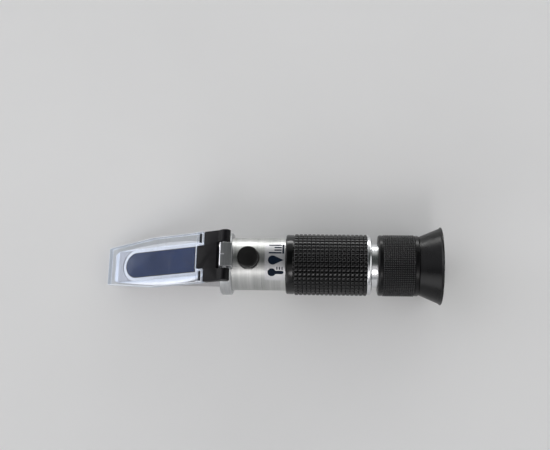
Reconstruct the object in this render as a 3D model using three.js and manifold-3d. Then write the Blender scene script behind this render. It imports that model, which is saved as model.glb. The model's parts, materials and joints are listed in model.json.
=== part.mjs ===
// Hand-held refractometer: sloped prism head with a hinged cover plate, calibration
// tube, rubber grip and focusing eyepiece.
// Millimetres. The optical axis is the X axis, +X points to the eyecup, +Z is up
// through the calibration cap. The origin is on the axis, at the middle of the length.
import * as THREE from 'three';
import { mergeVertices } from 'three/addons/utils/BufferGeometryUtils.js';
import Module from 'manifold-3d';

const wasm = await Module();
wasm.setup();

// ---------------------------------------------------------------- driving dimensions
const LENGTH = 160;                       // cover plate's tip to eyecup's rim
const TIP_X = -LENGTH / 2;
const RIM_X = LENGTH / 2;
const TIP_Z = -8.55;                      // top of the cover plate at its tip
const SLOPE = THREE.MathUtils.degToRad(24.4);

const FIT = 0.1;                          // gap between pieces that are fixed together
const RUN = 0.3;                          // gap between pieces that move or are cut

const ROUND = 40;                         // facets around the outer pieces
const ROUND_INNER = 24;                   // facets around the inner pieces
const ROUND_SMALL = 16;                   // facets around pins and screws

const BEYOND = 20;                        // how far a cutting body passes what it cuts

// Stations along the axis.
const SEAT_TIP_X = -77.3;
const COLLAR_X = -23.3;
const BARREL_X = -17.9;                   // bare tube begins behind the collar
const GRIP_X = 7.4;
const GRIP_END_X = 45.3;
const NECK_X = 47.4;                      // bare neck begins behind the chrome ring
const FOCUS_X = 50.4;
const FOCUS_END_X = 69.3;
const CAP_X = -9.8;
const SEAL_X = -21.6;                     // floor of the socket that takes the tube
const SEAL_T = 1.3;
const TUBE_FRONT_X = SEAL_X + SEAL_T;

// Radii of the outer pieces.
const COLLAR_R = 14.75;
const TUBE_R = 12.4;
const TUBE_BORE_R = 10.9;
const BAND_R = 14.1;                      // smooth band at the front of the grip
const GRIP_R = 14.45;
const END_RING_R = 13.95;
const NECK_R = 10.5;
const NECK_BORE_R = 8.6;
const FOCUS_LIP_R = 14.3;
const FOCUS_R = 14.5;
const FOCUS_TAIL_R = 14;
const EYECUP_ROOT_R = 13.8;
const RIM_R = 18.3;

// Head.
const HEAD_HALF_W = 10.7;                 // the head is oval, taller than it is wide
const HEAD_HALF_H = 14.4;
const PLATE_T = 2.7;
const SEAT_N = -(PLATE_T + 0.35);         // seat face, measured square to the plate's top
const SEAT_FLAT = 7.7;                    // half-width of the flat strip of the seat
const PRISM_HALF_W = 5.8;
const PRISM_S0 = 8.6;                     // round end of the prism, measured up the slope
const PRISM_S1 = 47.6;
const PRISM_FLOOR_Z = -9.8;
const PRISM_BACK_X = -29;
const BEAD_W = 0.4;                       // bead of cement around the prism
const BEAD_DEPTH = 1.4;
const LIGHT_BORE_R = 8.2;
const COLLAR_CHAMFER = 0.6;

// Hinge block on top of the collar.
const BLOCK_X = -22.6;
const BLOCK_END_X = -16.9;
const BLOCK_HALF_W = 5.5;
const BLOCK_TOP_Z = 19.5;
const BLOCK_CHAMFER = 0.8;
const BLOCK_UNDER_Z = 12.9;               // the block's overhang clears the tube

// Cover plate, its bracket and its hinge.
const PLATE_TIP_HALF_W = 9.05;
const PLATE_HALF_W = 12;
const PLATE_SHOULDER_S = 25.4;
const PLATE_END_S = 53.95;
const TONGUE_S = 50.4;
const TONGUE_HALF_W = 5.4;
const EAR_S = 50.7;
const EAR_INNER = 6;
const EAR_OUTER = 11.9;
const EAR_RISE = 0.7;
const BRACKET_CUT_S = 61;
const BRACKET_END_S = 65.2;
const BRACKET_HALF_W = 11.9;
const CUT_HALF_W = 6.3;
const PIN_X = -20.3;
const PIN_Z = 16.9;
const PIN_R = 1;
const PIN_HALF_L = 11.7;
const KNUCKLE_R = 2.4;

// Calibration screw under its cap.
const SPOT_R = 5.3;
const SPOT_Z = 11.3;                      // flat spot face that the cap sits on
const BUSH_R = 3.9;
const BUSH_FLOOR_Z = 6;
const RECESS_R = 2.9;
const RECESS_Z = 8.8;
const SCREW_R = 1.5;
const SCREW_TOP_Z = 8.4;
const SLOT_W = 0.5;
const SLOT_DEPTH = 0.8;
const STEM_R = 2.7;
const STEM_Z = 9.3;
const CAP_R = 5;
const CAP_EDGE_Z = 15.25;
const CAP_TOP_Z = 15.9;

// Label around the upper side of the tube, facet by facet like the tube itself.
const LABEL_X = -2.2;
const LABEL_L = 9.4;
const LABEL_FIRST = -5.5;                 // in facets from the top, towards the front
const LABEL_FACETS = 9;
const LABEL_LIFT = 0.06;
const LABEL_T = 0.14;

// Objective, pushed by the screw through an arm, and its compensating strip.
const OBJECTIVE_X = -1;
const OBJECTIVE_R = 6.2;
const OBJECTIVE_HOLE_R = 5.4;
const CARRIER_R = 9.2;
const CARRIER_L = 7;
const ARM_HALF_W = 2.4;
const ARM_TOP_Z = 5.2;
const ARM_T = 1.3;
const STRIP_X = -14.5;                    // screw through the foot of the strip
const STRIP_HOLE_R = 1.1;
const STRIP_TOP_Z = -9.8;
const STRIP_HALF_L = 2.2;
const STOP_X = 30;
const STOP_T = 1.2;
const STOP_HOLE_R = 7;

// Eyepiece.
const NECK_FRONT_X = 34;
const NECK_END_X = 58.5;
const GROOVE_X = 55.4;                    // groove for the O-ring that drags on the ring
const GROOVE_W = 1.4;
const GROOVE_R = 9.7;
const RETICLE_X = 39;
const RETICLE_T = 1.5;
const RETICLE_R = 7.2;
const RETICLE_HOLE_R = 6.2;
const FOCUS_BORE_R = NECK_R + RUN;
const CELL_X = 52.2;
const CELL_END_X = 67.2;
const CELL_BORE_R = 7.4;
const CELL_FRONT_R = 6.4;
const CUP_SEAT_R = 11.4;
const FLANGE_X = 61.5;                    // flange that the focusing ring grips
const FLANGE_T = 1.4;
const FLANGE_R = 11.8;
const EYE_LENS_R = 7.3;
const RETAINER_X = 64.8;
const RETAINER_FLANGE_X = 67.3;
const RETAINER_END_X = 68.2;
const RETAINER_FLANGE_R = 11.3;
const CUP_SOCKET_R = 12.4;

// ------------------------------------------------------------------------- materials
const finish = (color, roughness, metalness) => new THREE.MeshStandardMaterial({
  color, roughness, metalness,
});
const SATIN_ALUMINIUM = finish(0xb9bdb8, 0.38, 1);
const CHROME = finish(0xd9dadd, 0.12, 1);
const STEEL = finish(0x9fa1a4, 0.3, 1);
const BRASS = finish(0xb08d4c, 0.35, 1);
const BLACK_ANODISED = finish(0x151517, 0.45, 0.6);
const BLACK_RUBBER = finish(0x101112, 0.5, 0);
const BLACK_PLASTIC = finish(0x17181b, 0.35, 0);
const LABEL = finish(0xc9cccd, 0.55, 0);
const PRISM_GLASS = finish(0x3e4c6e, 0.05, 0);
const CLEAR = finish(0xc8d2dc, 0.06, 0);
CLEAR.transparent = true;
CLEAR.opacity = 0.3;

// ----------------------------------------------------------------------- scene graph
const refractometer = new THREE.Group();
const slopeGroup = new THREE.Group();     // x runs up the slope, z is square to it
slopeGroup.position.set(TIP_X, 0, TIP_Z);
slopeGroup.rotation.y = -SLOPE;
refractometer.add(slopeGroup);
slopeGroup.updateMatrixWorld(true);
const toWorld = slopeGroup.matrixWorld;

const add = (name, geometry, material, group = refractometer) => {
  const mesh = new THREE.Mesh(geometry, material);
  mesh.name = name;
  group.add(mesh);
  return mesh;
};

// --------------------------------------------------------------------- shape helpers
// A body of revolution about the X axis, from [x, radius] points. A profile that
// doesn't start and end on the axis closes on itself.
const lathe = (profile, facets = ROUND) => {
  const points = profile.map(([x, r]) => new THREE.Vector2(r, x));
  if (THREE.ShapeUtils.area(points) < 0) points.reverse();
  const onAxis = points[0].x === 0 && points[points.length - 1].x === 0;
  if (!onAxis) points.push(points[0].clone());
  const geometry = new THREE.LatheGeometry(points, facets, Math.PI / facets);
  return geometry.rotateZ(-Math.PI / 2);
};

const tube = (x0, x1, outer, inner, facets = ROUND_INNER) => lathe(
  [[x0, inner], [x0, outer], [x1, outer], [x1, inner]], facets);

const rod = (x0, x1, radius, facets = ROUND_INNER) => lathe(
  [[x0, 0], [x0, radius], [x1, radius], [x1, 0]], facets);

// The same, about a line parallel to Z through (x, 0).
const upright = (x, profile, facets = ROUND_INNER) => lathe(profile, facets)
  .rotateY(-Math.PI / 2)
  .translate(x, 0, 0);

const uprightRod = (x, z0, z1, radius, facets = ROUND_INNER) => upright(
  x, [[z0, 0], [z0, radius], [z1, radius], [z1, 0]], facets);

const crossRod = (x, z, halfLength, radius) => new THREE.CylinderGeometry(
  radius, radius, 2 * halfLength, ROUND_SMALL).translate(x, 0, z);

const box = (x0, x1, y0, y1, z0, z1) => new THREE.BoxGeometry(x1 - x0, y1 - y0, z1 - z0)
  .translate((x0 + x1) / 2, (y0 + y1) / 2, (z0 + z1) / 2);

// A flat outline in x and y, given a thickness from z0 to z1.
const slab = (shape, z0, z1) => new THREE.ExtrudeGeometry(shape, {
  depth: z1 - z0,
  bevelEnabled: false,
  curveSegments: 8,
}).translate(0, 0, z0);

// A section in y and z, drawn in x and y, run along X from x0 to x1.
const alongX = (section, x0, x1) => slab(section, 0, x1 - x0)
  .rotateX(Math.PI / 2)
  .rotateZ(Math.PI / 2)
  .translate(x0, 0, 0);

const outline = (points) => new THREE.Shape(points.map(([x, y]) => new THREE.Vector2(x, y)));

const mirrored = (half) => outline([...half, ...half.map(([x, y]) => [x, -y]).reverse()]);

// A spherical cap between the rim at [x, radius] and its top on the axis.
const dome = (x, radius, rise, steps = 3) => {
  const sphere = (radius * radius + rise * rise) / (2 * Math.abs(rise));
  const centre = x + rise - Math.sign(rise) * sphere;
  const half = Math.asin(radius / sphere);
  return Array.from({ length: steps + 1 }, (_, i) => {
    const a = half * (1 - i / steps);
    const r = i === steps ? 0 : sphere * Math.sin(a);
    return [centre + Math.sign(rise) * sphere * Math.cos(a), r];
  });
};

// A lens with its rim from x0 to x1 and the two surface rises.
const lens = (x0, x1, radius, rise0, rise1) => lathe(
  [...dome(x0, radius, -rise0).reverse(), ...dome(x1, radius, rise1)], ROUND_INNER);

// -------------------------------------------------------------------------- booleans
const WELD = 1e-4;                        // vertices nearer than this are one vertex

const toSolid = (geometry, matrix = null) => {
  const clean = geometry.clone();
  clean.deleteAttribute('normal');
  clean.deleteAttribute('uv');
  if (matrix) clean.applyMatrix4(matrix);
  const merged = mergeVertices(clean, WELD);
  return new wasm.Manifold(new wasm.Mesh({
    numProp: 3,
    vertProperties: merged.attributes.position.array,
    triVerts: new Uint32Array(merged.index.array),
  }));
};

const toGeometry = (solid) => {
  const { vertProperties, triVerts } = solid.getMesh();
  const geometry = new THREE.BufferGeometry();
  geometry.setAttribute('position', new THREE.BufferAttribute(vertProperties, 3));
  geometry.setIndex(new THREE.BufferAttribute(triVerts, 1));
  geometry.computeVertexNormals();
  return geometry;
};

const onSlope = (geometry) => toSolid(geometry, toWorld);

const pinHole = () => toSolid(crossRod(PIN_X, PIN_Z, BEYOND, PIN_R + RUN));

// ------------------------------------------------------------------------------ head
// The outline of the prism, grown by a margin, as seen square to the slope.
const prismOutline = (margin) => {
  const w = PRISM_HALF_W + margin;
  const centre = PRISM_S0 + PRISM_HALF_W;
  const shape = new THREE.Shape();
  shape.moveTo(PRISM_S1 + margin, -w);
  shape.lineTo(PRISM_S1 + margin, w);
  shape.lineTo(centre, w);
  shape.absarc(centre, 0, w, Math.PI / 2, 1.5 * Math.PI, false);
  shape.closePath();
  return shape;
};

const prismWedge = (margin, top) => {
  const column = onSlope(slab(prismOutline(margin), -2 * BEYOND, top));
  const width = PRISM_HALF_W + margin + 1;
  const keep = box(
    TIP_X, PRISM_BACK_X + margin, -width, width, PRISM_FLOOR_Z - margin, BEYOND);
  return column.intersect(toSolid(keep));
};

// The oval head below the seat face: a flat strip with a 45 degree bevel on each side.
const seatWedge = () => {
  const oval = rod(SEAT_TIP_X, COLLAR_X + 1, HEAD_HALF_H, ROUND)
    .scale(1, HEAD_HALF_W / HEAD_HALF_H, 1);
  const reach = 2 * BEYOND;
  const section = outline([
    [-SEAT_FLAT - reach, -reach], [SEAT_FLAT + reach, -reach], [SEAT_FLAT, 0], [-SEAT_FLAT, 0],
  ]);
  const under = alongX(section, -BEYOND, LENGTH).translate(0, 0, SEAT_N);
  return toSolid(oval).intersect(onSlope(under));
};

const seatCollar = () => toSolid(lathe([
  [COLLAR_X, 0], [COLLAR_X, COLLAR_R - COLLAR_CHAMFER], [COLLAR_X + COLLAR_CHAMFER, COLLAR_R],
  [BARREL_X - COLLAR_CHAMFER / 2, COLLAR_R], [BARREL_X, COLLAR_R - COLLAR_CHAMFER / 2],
  [BARREL_X, 0],
]));

const hingeBlock = () => {
  const small = BLOCK_CHAMFER / 2;
  const side = outline([
    [BLOCK_X, TUBE_R], [BARREL_X, TUBE_R], [BARREL_X, BLOCK_UNDER_Z],
    [BLOCK_END_X, BLOCK_UNDER_Z], [BLOCK_END_X, BLOCK_TOP_Z - small],
    [BLOCK_END_X - small, BLOCK_TOP_Z], [BLOCK_X + BLOCK_CHAMFER, BLOCK_TOP_Z],
    [BLOCK_X, BLOCK_TOP_Z - BLOCK_CHAMFER],
  ]);
  return toSolid(slab(side, -BLOCK_HALF_W, BLOCK_HALF_W).rotateX(Math.PI / 2));
};

const prismSeat = () => seatWedge().add(seatCollar()).add(hingeBlock())
  .subtract(prismWedge(BEAD_W + FIT, BEYOND / 4))
  .subtract(toSolid(rod(PRISM_BACK_X - BEYOND / 2, COLLAR_X + BEYOND / 2, LIGHT_BORE_R)))
  .subtract(toSolid(rod(SEAL_X, BARREL_X + BEYOND, TUBE_R + FIT, ROUND)))
  .subtract(pinHole());

const cementBead = () => {
  const ring = prismOutline(BEAD_W);
  ring.holes.push(prismOutline(FIT));
  return slab(ring, SEAT_N - BEAD_DEPTH, SEAT_N - FIT / 2);
};

const headSeal = () => tube(SEAL_X + FIT, TUBE_FRONT_X - FIT, TUBE_R, TUBE_R - SEAL_T);

add('prism_seat', toGeometry(prismSeat()), SATIN_ALUMINIUM);
add('measuring_prism', toGeometry(prismWedge(0, SEAT_N)), PRISM_GLASS);
add('prism_seal', cementBead(), BLACK_RUBBER, slopeGroup);
add('head_seal', headSeal(), BLACK_RUBBER);

// --------------------------------------------------------- cover plate and its hinge
const plateEar = (side) => {
  const [y0, y1] = [side * EAR_INNER, side * EAR_OUTER].sort((a, b) => a - b);
  return toSolid(box(EAR_S, PLATE_END_S - FIT, y0, y1, -PLATE_T / 2, EAR_RISE));
};

const daylightPlate = () => {
  const notch = TONGUE_HALF_W + RUN;
  const blank = mirrored([
    [0, PLATE_TIP_HALF_W], [PLATE_SHOULDER_S, PLATE_HALF_W], [PLATE_END_S, PLATE_HALF_W],
    [PLATE_END_S, notch], [TONGUE_S - RUN, notch],
  ]);
  return toSolid(slab(blank, -PLATE_T, 0)).add(plateEar(1)).add(plateEar(-1));
};

const plateBracket = () => {
  const front = PLATE_END_S + RUN;
  const blank = mirrored([
    [TONGUE_S, TONGUE_HALF_W], [front, TONGUE_HALF_W], [front, BRACKET_HALF_W],
    [BRACKET_END_S, BRACKET_HALF_W], [BRACKET_END_S, CUT_HALF_W], [BRACKET_CUT_S, CUT_HALF_W],
  ]);
  const reach = 2 * KNUCKLE_R;
  const between = box(
    PIN_X - reach, PIN_X + reach, -CUT_HALF_W, CUT_HALF_W, PIN_Z - reach, PIN_Z + reach);
  const knuckles = toSolid(crossRod(PIN_X, PIN_Z, BRACKET_HALF_W, KNUCKLE_R))
    .subtract(toSolid(between));
  return onSlope(slab(blank, -PLATE_T, 0)).add(knuckles).subtract(pinHole());
};

add('daylight_plate', toGeometry(daylightPlate()), CLEAR, slopeGroup);
add('plate_bracket', toGeometry(plateBracket()), BLACK_PLASTIC);
add('hinge_pin', crossRod(PIN_X, PIN_Z, PIN_HALF_L, PIN_R), STEEL);

// -------------------------------------------------------------- tube and calibration
const mainTube = () => toSolid(
  tube(TUBE_FRONT_X, GRIP_END_X - RUN, TUBE_R, TUBE_BORE_R, ROUND))
  .subtract(toSolid(uprightRod(CAP_X, SPOT_Z, BEYOND, SPOT_R)))
  .subtract(toSolid(uprightRod(CAP_X, 2, BEYOND, BUSH_R + FIT)))
  .subtract(toSolid(uprightRod(STRIP_X, -TUBE_R + RUN, -8, STRIP_HOLE_R, ROUND_SMALL)));

const calibrationBush = () => upright(CAP_X, [
  [BUSH_FLOOR_Z, SCREW_R + FIT], [BUSH_FLOOR_Z, BUSH_R], [SPOT_Z, BUSH_R], [SPOT_Z, RECESS_R],
  [RECESS_Z, RECESS_R], [RECESS_Z, SCREW_R + FIT],
]);

const calibrationCap = () => upright(CAP_X, [
  [STEM_Z, 0], [STEM_Z, STEM_R], [SPOT_Z + FIT, STEM_R], [SPOT_Z + FIT, CAP_R],
  [CAP_EDGE_Z, CAP_R], [CAP_EDGE_Z + 0.4, CAP_R - 0.4], [CAP_TOP_Z - 0.05, CAP_R - 2],
  [CAP_TOP_Z, 0],
]);

const calibrationScrew = () => {
  const slot = box(
    CAP_X - 2 * SCREW_R, CAP_X + 2 * SCREW_R, -SLOT_W / 2, SLOT_W / 2,
    SCREW_TOP_Z - SLOT_DEPTH, SCREW_TOP_Z + 1);
  return toSolid(uprightRod(CAP_X, ARM_TOP_Z + FIT, SCREW_TOP_Z, SCREW_R, ROUND_SMALL))
    .subtract(toSolid(slot));
};

const barrelLabel = () => {
  const step = 2 * Math.PI / ROUND;
  const run = (radius) => Array.from({ length: LABEL_FACETS + 1 }, (_, k) => {
    const a = (LABEL_FIRST + k) * step;
    return [radius * Math.sin(a), radius * Math.cos(a)];
  });
  const under = TUBE_R + LABEL_LIFT;
  const section = outline([...run(under + LABEL_T), ...run(under).reverse()]);
  return alongX(section, LABEL_X, LABEL_X + LABEL_L);
};

add('main_tube', toGeometry(mainTube()), SATIN_ALUMINIUM);
add('calibration_bush', calibrationBush(), BRASS);
add('calibration_cap', calibrationCap(), BLACK_RUBBER);
add('calibration_screw', toGeometry(calibrationScrew()), STEEL);
add('barrel_label', barrelLabel(), LABEL);

// ---------------------------------------------------- objective and its compensator
const objectiveCarrier = () => {
  const back = OBJECTIVE_X + CARRIER_L;
  const step = OBJECTIVE_X + 1.4;
  const bore = OBJECTIVE_R + FIT;
  const ring = lathe([
    [OBJECTIVE_X, OBJECTIVE_HOLE_R], [OBJECTIVE_X, CARRIER_R], [back, CARRIER_R],
    [back, bore], [step, bore], [step, OBJECTIVE_HOLE_R],
  ], ROUND_INNER);
  const arm = box(
    CAP_X - 2.6, OBJECTIVE_X + 1, -ARM_HALF_W, ARM_HALF_W, ARM_TOP_Z - ARM_T, ARM_TOP_Z);
  const root = box(
    OBJECTIVE_X - 1, OBJECTIVE_X + 1, -ARM_HALF_W, ARM_HALF_W, ARM_TOP_Z - ARM_T, 8);
  return toSolid(ring).add(toSolid(arm)).add(toSolid(root));
};

const bimetalStrip = () => {
  const foot = box(
    STRIP_X - STRIP_HALF_L, STRIP_X + STRIP_HALF_L, -ARM_HALF_W, ARM_HALF_W,
    STRIP_TOP_Z - 0.6, STRIP_TOP_Z - 0.1);
  const leaf = box(
    STRIP_X - STRIP_HALF_L, OBJECTIVE_X + 5, -ARM_HALF_W, ARM_HALF_W,
    STRIP_TOP_Z - 0.4, STRIP_TOP_Z);
  const hole = uprightRod(STRIP_X, -TUBE_R, -9, STRIP_HOLE_R, ROUND_SMALL);
  return toSolid(foot).add(toSolid(leaf)).subtract(toSolid(hole));
};

const stripScrew = () => {
  const shank = STRIP_HOLE_R - 2 * FIT;
  const under = STRIP_TOP_Z + FIT;
  return upright(STRIP_X, [
    [-11.8, 0], [-11.8, shank], [under, shank], [under, 1.9], [under + 0.9, 1.9],
    [under + 1.2, 1.4], [under + 1.2, 0],
  ], ROUND_SMALL);
};

add('objective_carrier', toGeometry(objectiveCarrier()), BLACK_ANODISED);
add('objective_lens', lens(OBJECTIVE_X + 2.3, OBJECTIVE_X + 4.2, OBJECTIVE_R, 0.7, 0.9), CLEAR);
add('objective_retainer', tube(
  OBJECTIVE_X + 4.6, OBJECTIVE_X + 6.4, OBJECTIVE_R, OBJECTIVE_HOLE_R - 0.2), BRASS);
add('bimetal_strip', toGeometry(bimetalStrip()), BRASS);
add('strip_screw', stripScrew(), STEEL);
add('aperture_stop', tube(
  STOP_X, STOP_X + STOP_T, TUBE_BORE_R - FIT, STOP_HOLE_R), BLACK_ANODISED);

// -------------------------------------------------------------------- grip and ring
const gripSleeve = () => {
  const bore = TUBE_R + FIT;
  const knobs = GRIP_X + 3.9;
  return lathe([
    [GRIP_X, bore], [GRIP_X, BAND_R - 0.8], [GRIP_X + 0.3, BAND_R - 0.3],
    [GRIP_X + 0.9, BAND_R], [knobs - 0.3, BAND_R], [knobs, GRIP_R],
    [GRIP_END_X - RUN, GRIP_R], [GRIP_END_X - FIT, bore],
  ]);
};

const gripEndRing = () => {
  const bore = NECK_R + FIT;
  return lathe([
    [GRIP_END_X, bore], [GRIP_END_X, END_RING_R - 0.4], [GRIP_END_X + 0.5, END_RING_R],
    [NECK_X - 0.7, END_RING_R], [NECK_X, END_RING_R - 0.8], [NECK_X, bore],
  ]);
};

add('grip_sleeve', gripSleeve(), BLACK_RUBBER);
add('grip_end_ring', gripEndRing(), CHROME);

// -------------------------------------------------------------------------- eyepiece
const eyepieceNeck = () => {
  const grooveEnd = GROOVE_X + GROOVE_W;
  return lathe([
    [NECK_FRONT_X, NECK_BORE_R], [NECK_FRONT_X, NECK_R], [GROOVE_X, NECK_R],
    [GROOVE_X, GROOVE_R], [grooveEnd, GROOVE_R], [grooveEnd, NECK_R],
    [NECK_END_X, NECK_R], [NECK_END_X, NECK_BORE_R],
  ]);
};

const focusORing = () => {
  const side = FIT + 0.05;
  return tube(
    GROOVE_X + side, GROOVE_X + GROOVE_W - side, NECK_R + FIT, GROOVE_R + FIT, ROUND);
};

const reticleHolder = () => {
  const outer = NECK_BORE_R - FIT;
  const seat = RETICLE_X - FIT;
  return lathe([
    [RETICLE_X - 2, RETICLE_HOLE_R], [RETICLE_X - 2, outer], [RETICLE_X + 5, outer],
    [RETICLE_X + 5, RETICLE_R + FIT], [seat, RETICLE_R + FIT], [seat, RETICLE_HOLE_R],
  ], ROUND_INNER);
};

const reticleRetainer = () => {
  const front = RETICLE_X + RETICLE_T + FIT;
  return tube(front, front + 1.8, RETICLE_R, RETICLE_HOLE_R);
};

const focusRing = () => {
  const knurl = FOCUS_X + 2.3;
  const knurlEnd = FOCUS_END_X - 1.9;
  const ledge = FLANGE_X - FIT;
  const socket = FLANGE_X + FLANGE_T + FIT;
  const cupSeat = FOCUS_END_X - 2.4;
  return lathe([
    [FOCUS_X, FOCUS_BORE_R], [FOCUS_X, FOCUS_LIP_R - 1], [FOCUS_X + 0.3, FOCUS_LIP_R - 0.4],
    [FOCUS_X + 0.9, FOCUS_LIP_R], [knurl - 0.3, FOCUS_LIP_R], [knurl, FOCUS_R],
    [knurlEnd, FOCUS_R], [knurlEnd + 0.3, FOCUS_TAIL_R], [FOCUS_END_X, FOCUS_TAIL_R],
    [FOCUS_END_X, CUP_SOCKET_R], [cupSeat, CUP_SOCKET_R], [cupSeat, FLANGE_R - 0.2],
    [socket, FLANGE_R - 0.2], [socket, FLANGE_R + 0.2], [ledge, FLANGE_R + 0.2],
    [ledge, FOCUS_BORE_R],
  ]);
};

const eyepieceCell = () => {
  const outer = NECK_BORE_R - RUN;
  return lathe([
    [CELL_X, CELL_FRONT_R], [CELL_X, outer], [FLANGE_X, outer], [FLANGE_X, FLANGE_R],
    [FLANGE_X + FLANGE_T, FLANGE_R], [FLANGE_X + FLANGE_T, CUP_SEAT_R],
    [CELL_END_X, CUP_SEAT_R], [CELL_END_X, CELL_BORE_R], [CELL_X + 1, CELL_BORE_R],
    [CELL_X + 1, CELL_FRONT_R],
  ]);
};

const lensRetainer = () => {
  const hole = EYE_LENS_R - 0.1;
  return lathe([
    [RETAINER_X, RETICLE_HOLE_R + 0.1], [RETAINER_X, EYE_LENS_R],
    [RETAINER_FLANGE_X, EYE_LENS_R], [RETAINER_FLANGE_X, RETAINER_FLANGE_R],
    [RETAINER_END_X, RETAINER_FLANGE_R], [RETAINER_END_X, hole],
  ]);
};

const eyecup = () => {
  const root = FOCUS_END_X + FIT;
  const spigot = CUP_SOCKET_R - FIT;
  const hole = CUP_SEAT_R + FIT;
  return lathe([
    [RETAINER_FLANGE_X, hole], [RETAINER_FLANGE_X, spigot], [root, spigot],
    [root, EYECUP_ROOT_R], [RIM_X - 0.4, RIM_R], [RIM_X, RIM_R], [RIM_X, RIM_R - 1.2],
    [root + 1.2, spigot + 0.6], [root + 0.2, hole + 0.4], [root - 1, hole],
  ]);
};

add('eyepiece_neck', eyepieceNeck(), CHROME);
add('focus_o_ring', focusORing(), BLACK_RUBBER);
add('reticle_holder', reticleHolder(), BLACK_ANODISED);
add('reticle', rod(RETICLE_X, RETICLE_X + RETICLE_T, RETICLE_R), CLEAR);
add('reticle_retainer', reticleRetainer(), BLACK_ANODISED);
add('focus_ring', focusRing(), BLACK_ANODISED);
add('eyepiece_cell', eyepieceCell(), BLACK_ANODISED);
add('field_lens', lens(CELL_X + 1.5, CELL_X + 3.1, EYE_LENS_R, 0.35, 1.3), CLEAR);
add('lens_spacer', tube(CELL_X + 3.7, 62.2, EYE_LENS_R, EYE_LENS_R - 0.8), BLACK_ANODISED);
add('eye_lens', lens(62.6, 64.4, EYE_LENS_R, 1.4, 1), CLEAR);
add('lens_retainer', lensRetainer(), BLACK_ANODISED);
add('eyecup', eyecup(), BLACK_RUBBER);

export default refractometer;
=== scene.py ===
"""Looks of a hand-held refractometer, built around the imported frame.

Lengths in this script are millimetres until a mesh is made; MM turns them into metres.
The optical axis is X, +X points to the eyecup and +Z is up through the calibration cap.
"""
import json
import math

import bmesh
import bpy
import numpy as np
from mathutils import Matrix, Vector


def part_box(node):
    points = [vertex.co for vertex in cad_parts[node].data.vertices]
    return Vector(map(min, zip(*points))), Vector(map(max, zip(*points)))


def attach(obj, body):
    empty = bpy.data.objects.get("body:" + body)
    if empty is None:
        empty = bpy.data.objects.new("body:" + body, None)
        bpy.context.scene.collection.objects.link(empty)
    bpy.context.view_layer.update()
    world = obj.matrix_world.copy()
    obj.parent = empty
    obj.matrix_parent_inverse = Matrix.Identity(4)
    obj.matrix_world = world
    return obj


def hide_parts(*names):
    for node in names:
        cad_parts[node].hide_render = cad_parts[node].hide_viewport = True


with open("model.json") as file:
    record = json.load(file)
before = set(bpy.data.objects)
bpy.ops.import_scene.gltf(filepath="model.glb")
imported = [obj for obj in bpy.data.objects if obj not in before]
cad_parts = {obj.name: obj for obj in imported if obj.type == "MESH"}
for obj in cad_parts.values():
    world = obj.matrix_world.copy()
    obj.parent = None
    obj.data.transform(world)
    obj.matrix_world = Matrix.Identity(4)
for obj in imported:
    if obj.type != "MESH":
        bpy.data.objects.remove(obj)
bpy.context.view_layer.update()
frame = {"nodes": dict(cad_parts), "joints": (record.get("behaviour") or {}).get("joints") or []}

MM = 0.001
CAD_FACETS = 40                      # facets around the frame's round pieces
FLAT_TO_ROUND = 1 / math.cos(math.pi / CAD_FACETS)
AROUND = 192                         # vertices around a smooth round piece


# ---- sizes from the frame
class Box:
    """A node's box in millimetres."""

    def __init__(self, node):
        low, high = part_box(node)
        self.x0, self.y0, self.z0 = (v / MM for v in low)
        self.x1, self.y1, self.z1 = (v / MM for v in high)
        self.radius = self.z1 * FLAT_TO_ROUND


SEAT = Box("prism_seat")
TUBE = Box("main_tube")
GRIP = Box("grip_sleeve")
END_RING = Box("grip_end_ring")
NECK = Box("eyepiece_neck")
FOCUS = Box("focus_ring")
CUP = Box("eyecup")
CAP = Box("calibration_cap")
PLATE = Box("daylight_plate")
PIN = Box("hinge_pin")
PRISM = Box("measuring_prism")
LABEL = Box("barrel_label")
O_RING = Box("focus_o_ring")

HINGE = next(j for j in frame["joints"] if j["name"] == "cover_hinge")
PIN_X = HINGE["pos_m"][0] / MM
PIN_Z = HINGE["pos_m"][2] / MM

TUBE_R = TUBE.radius
CAP_X = (CAP.x0 + CAP.x1) / 2
SPOT_Z = 11.3                        # height of the flat cut into the tube under the cap
SPOT_R = 5.3
FILM = 0.07                          # thickness of the label
BUSH_R = 3.9                         # bush of the calibration screw
SCREW_R = 1.5
SCREW_TOP = 8.4

COLLAR_R = 14.75
COLLAR_X0 = -23.3
COLLAR_X1 = -17.9                    # the tube leaves the collar here
BLOCK_X0 = -22.6
BLOCK_HALF = 5.5

SLOPE = math.radians(24.4)
TIP = Vector((PLATE.x0, 0, -8.55))   # top of the cover plate at its tip
PLATE_T = 2.7
SEAT_N = -(PLATE_T + 0.35)           # seat face, measured square to the plate's top
HEAD_HALF_W = 10.7
HEAD_HALF_H = 14.4
HEAD_AROUND = 384                    # vertices around a slice of the head
SEAT_FLAT = 7.7                      # half width of the seat face
SIDE_BEVEL = math.radians(40)        # fall of the bevels along the seat's two sides
NOSE = math.radians(39)              # chamfer along the tip of the seat
NOSE_L = 2.0

PRISM_HALF = PRISM.y1
# How far up the slope the prism starts and ends.
PRISM_S0 = (PRISM.x0 - TIP.x + SEAT_N * math.sin(SLOPE)) / math.cos(SLOPE)
PRISM_S1 = (PRISM.z1 - TIP.z - SEAT_N * math.cos(SLOPE)) / math.sin(SLOPE)
BEAD_W = 0.4                         # cement around the prism
STEP_W = 2.0                         # lapped ring around the prism, a little below the seat
STEP_DEPTH = 0.22

PLATE_END = 53.95                    # up the slope, where the bracket takes over
EAR_S0 = 50.75                       # start of the two raised ears at the plate's end
EAR_Y0, EAR_Y1 = 6.0, 11.9
SLOT_S0, SLOT_S1 = 51.75, 52.75      # slot through an ear, for a tab of the bracket
SLOT_INSET = 0.65                    # from the ear's sides to the slot's ends
BRACKET_HALF = 11.9

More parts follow.
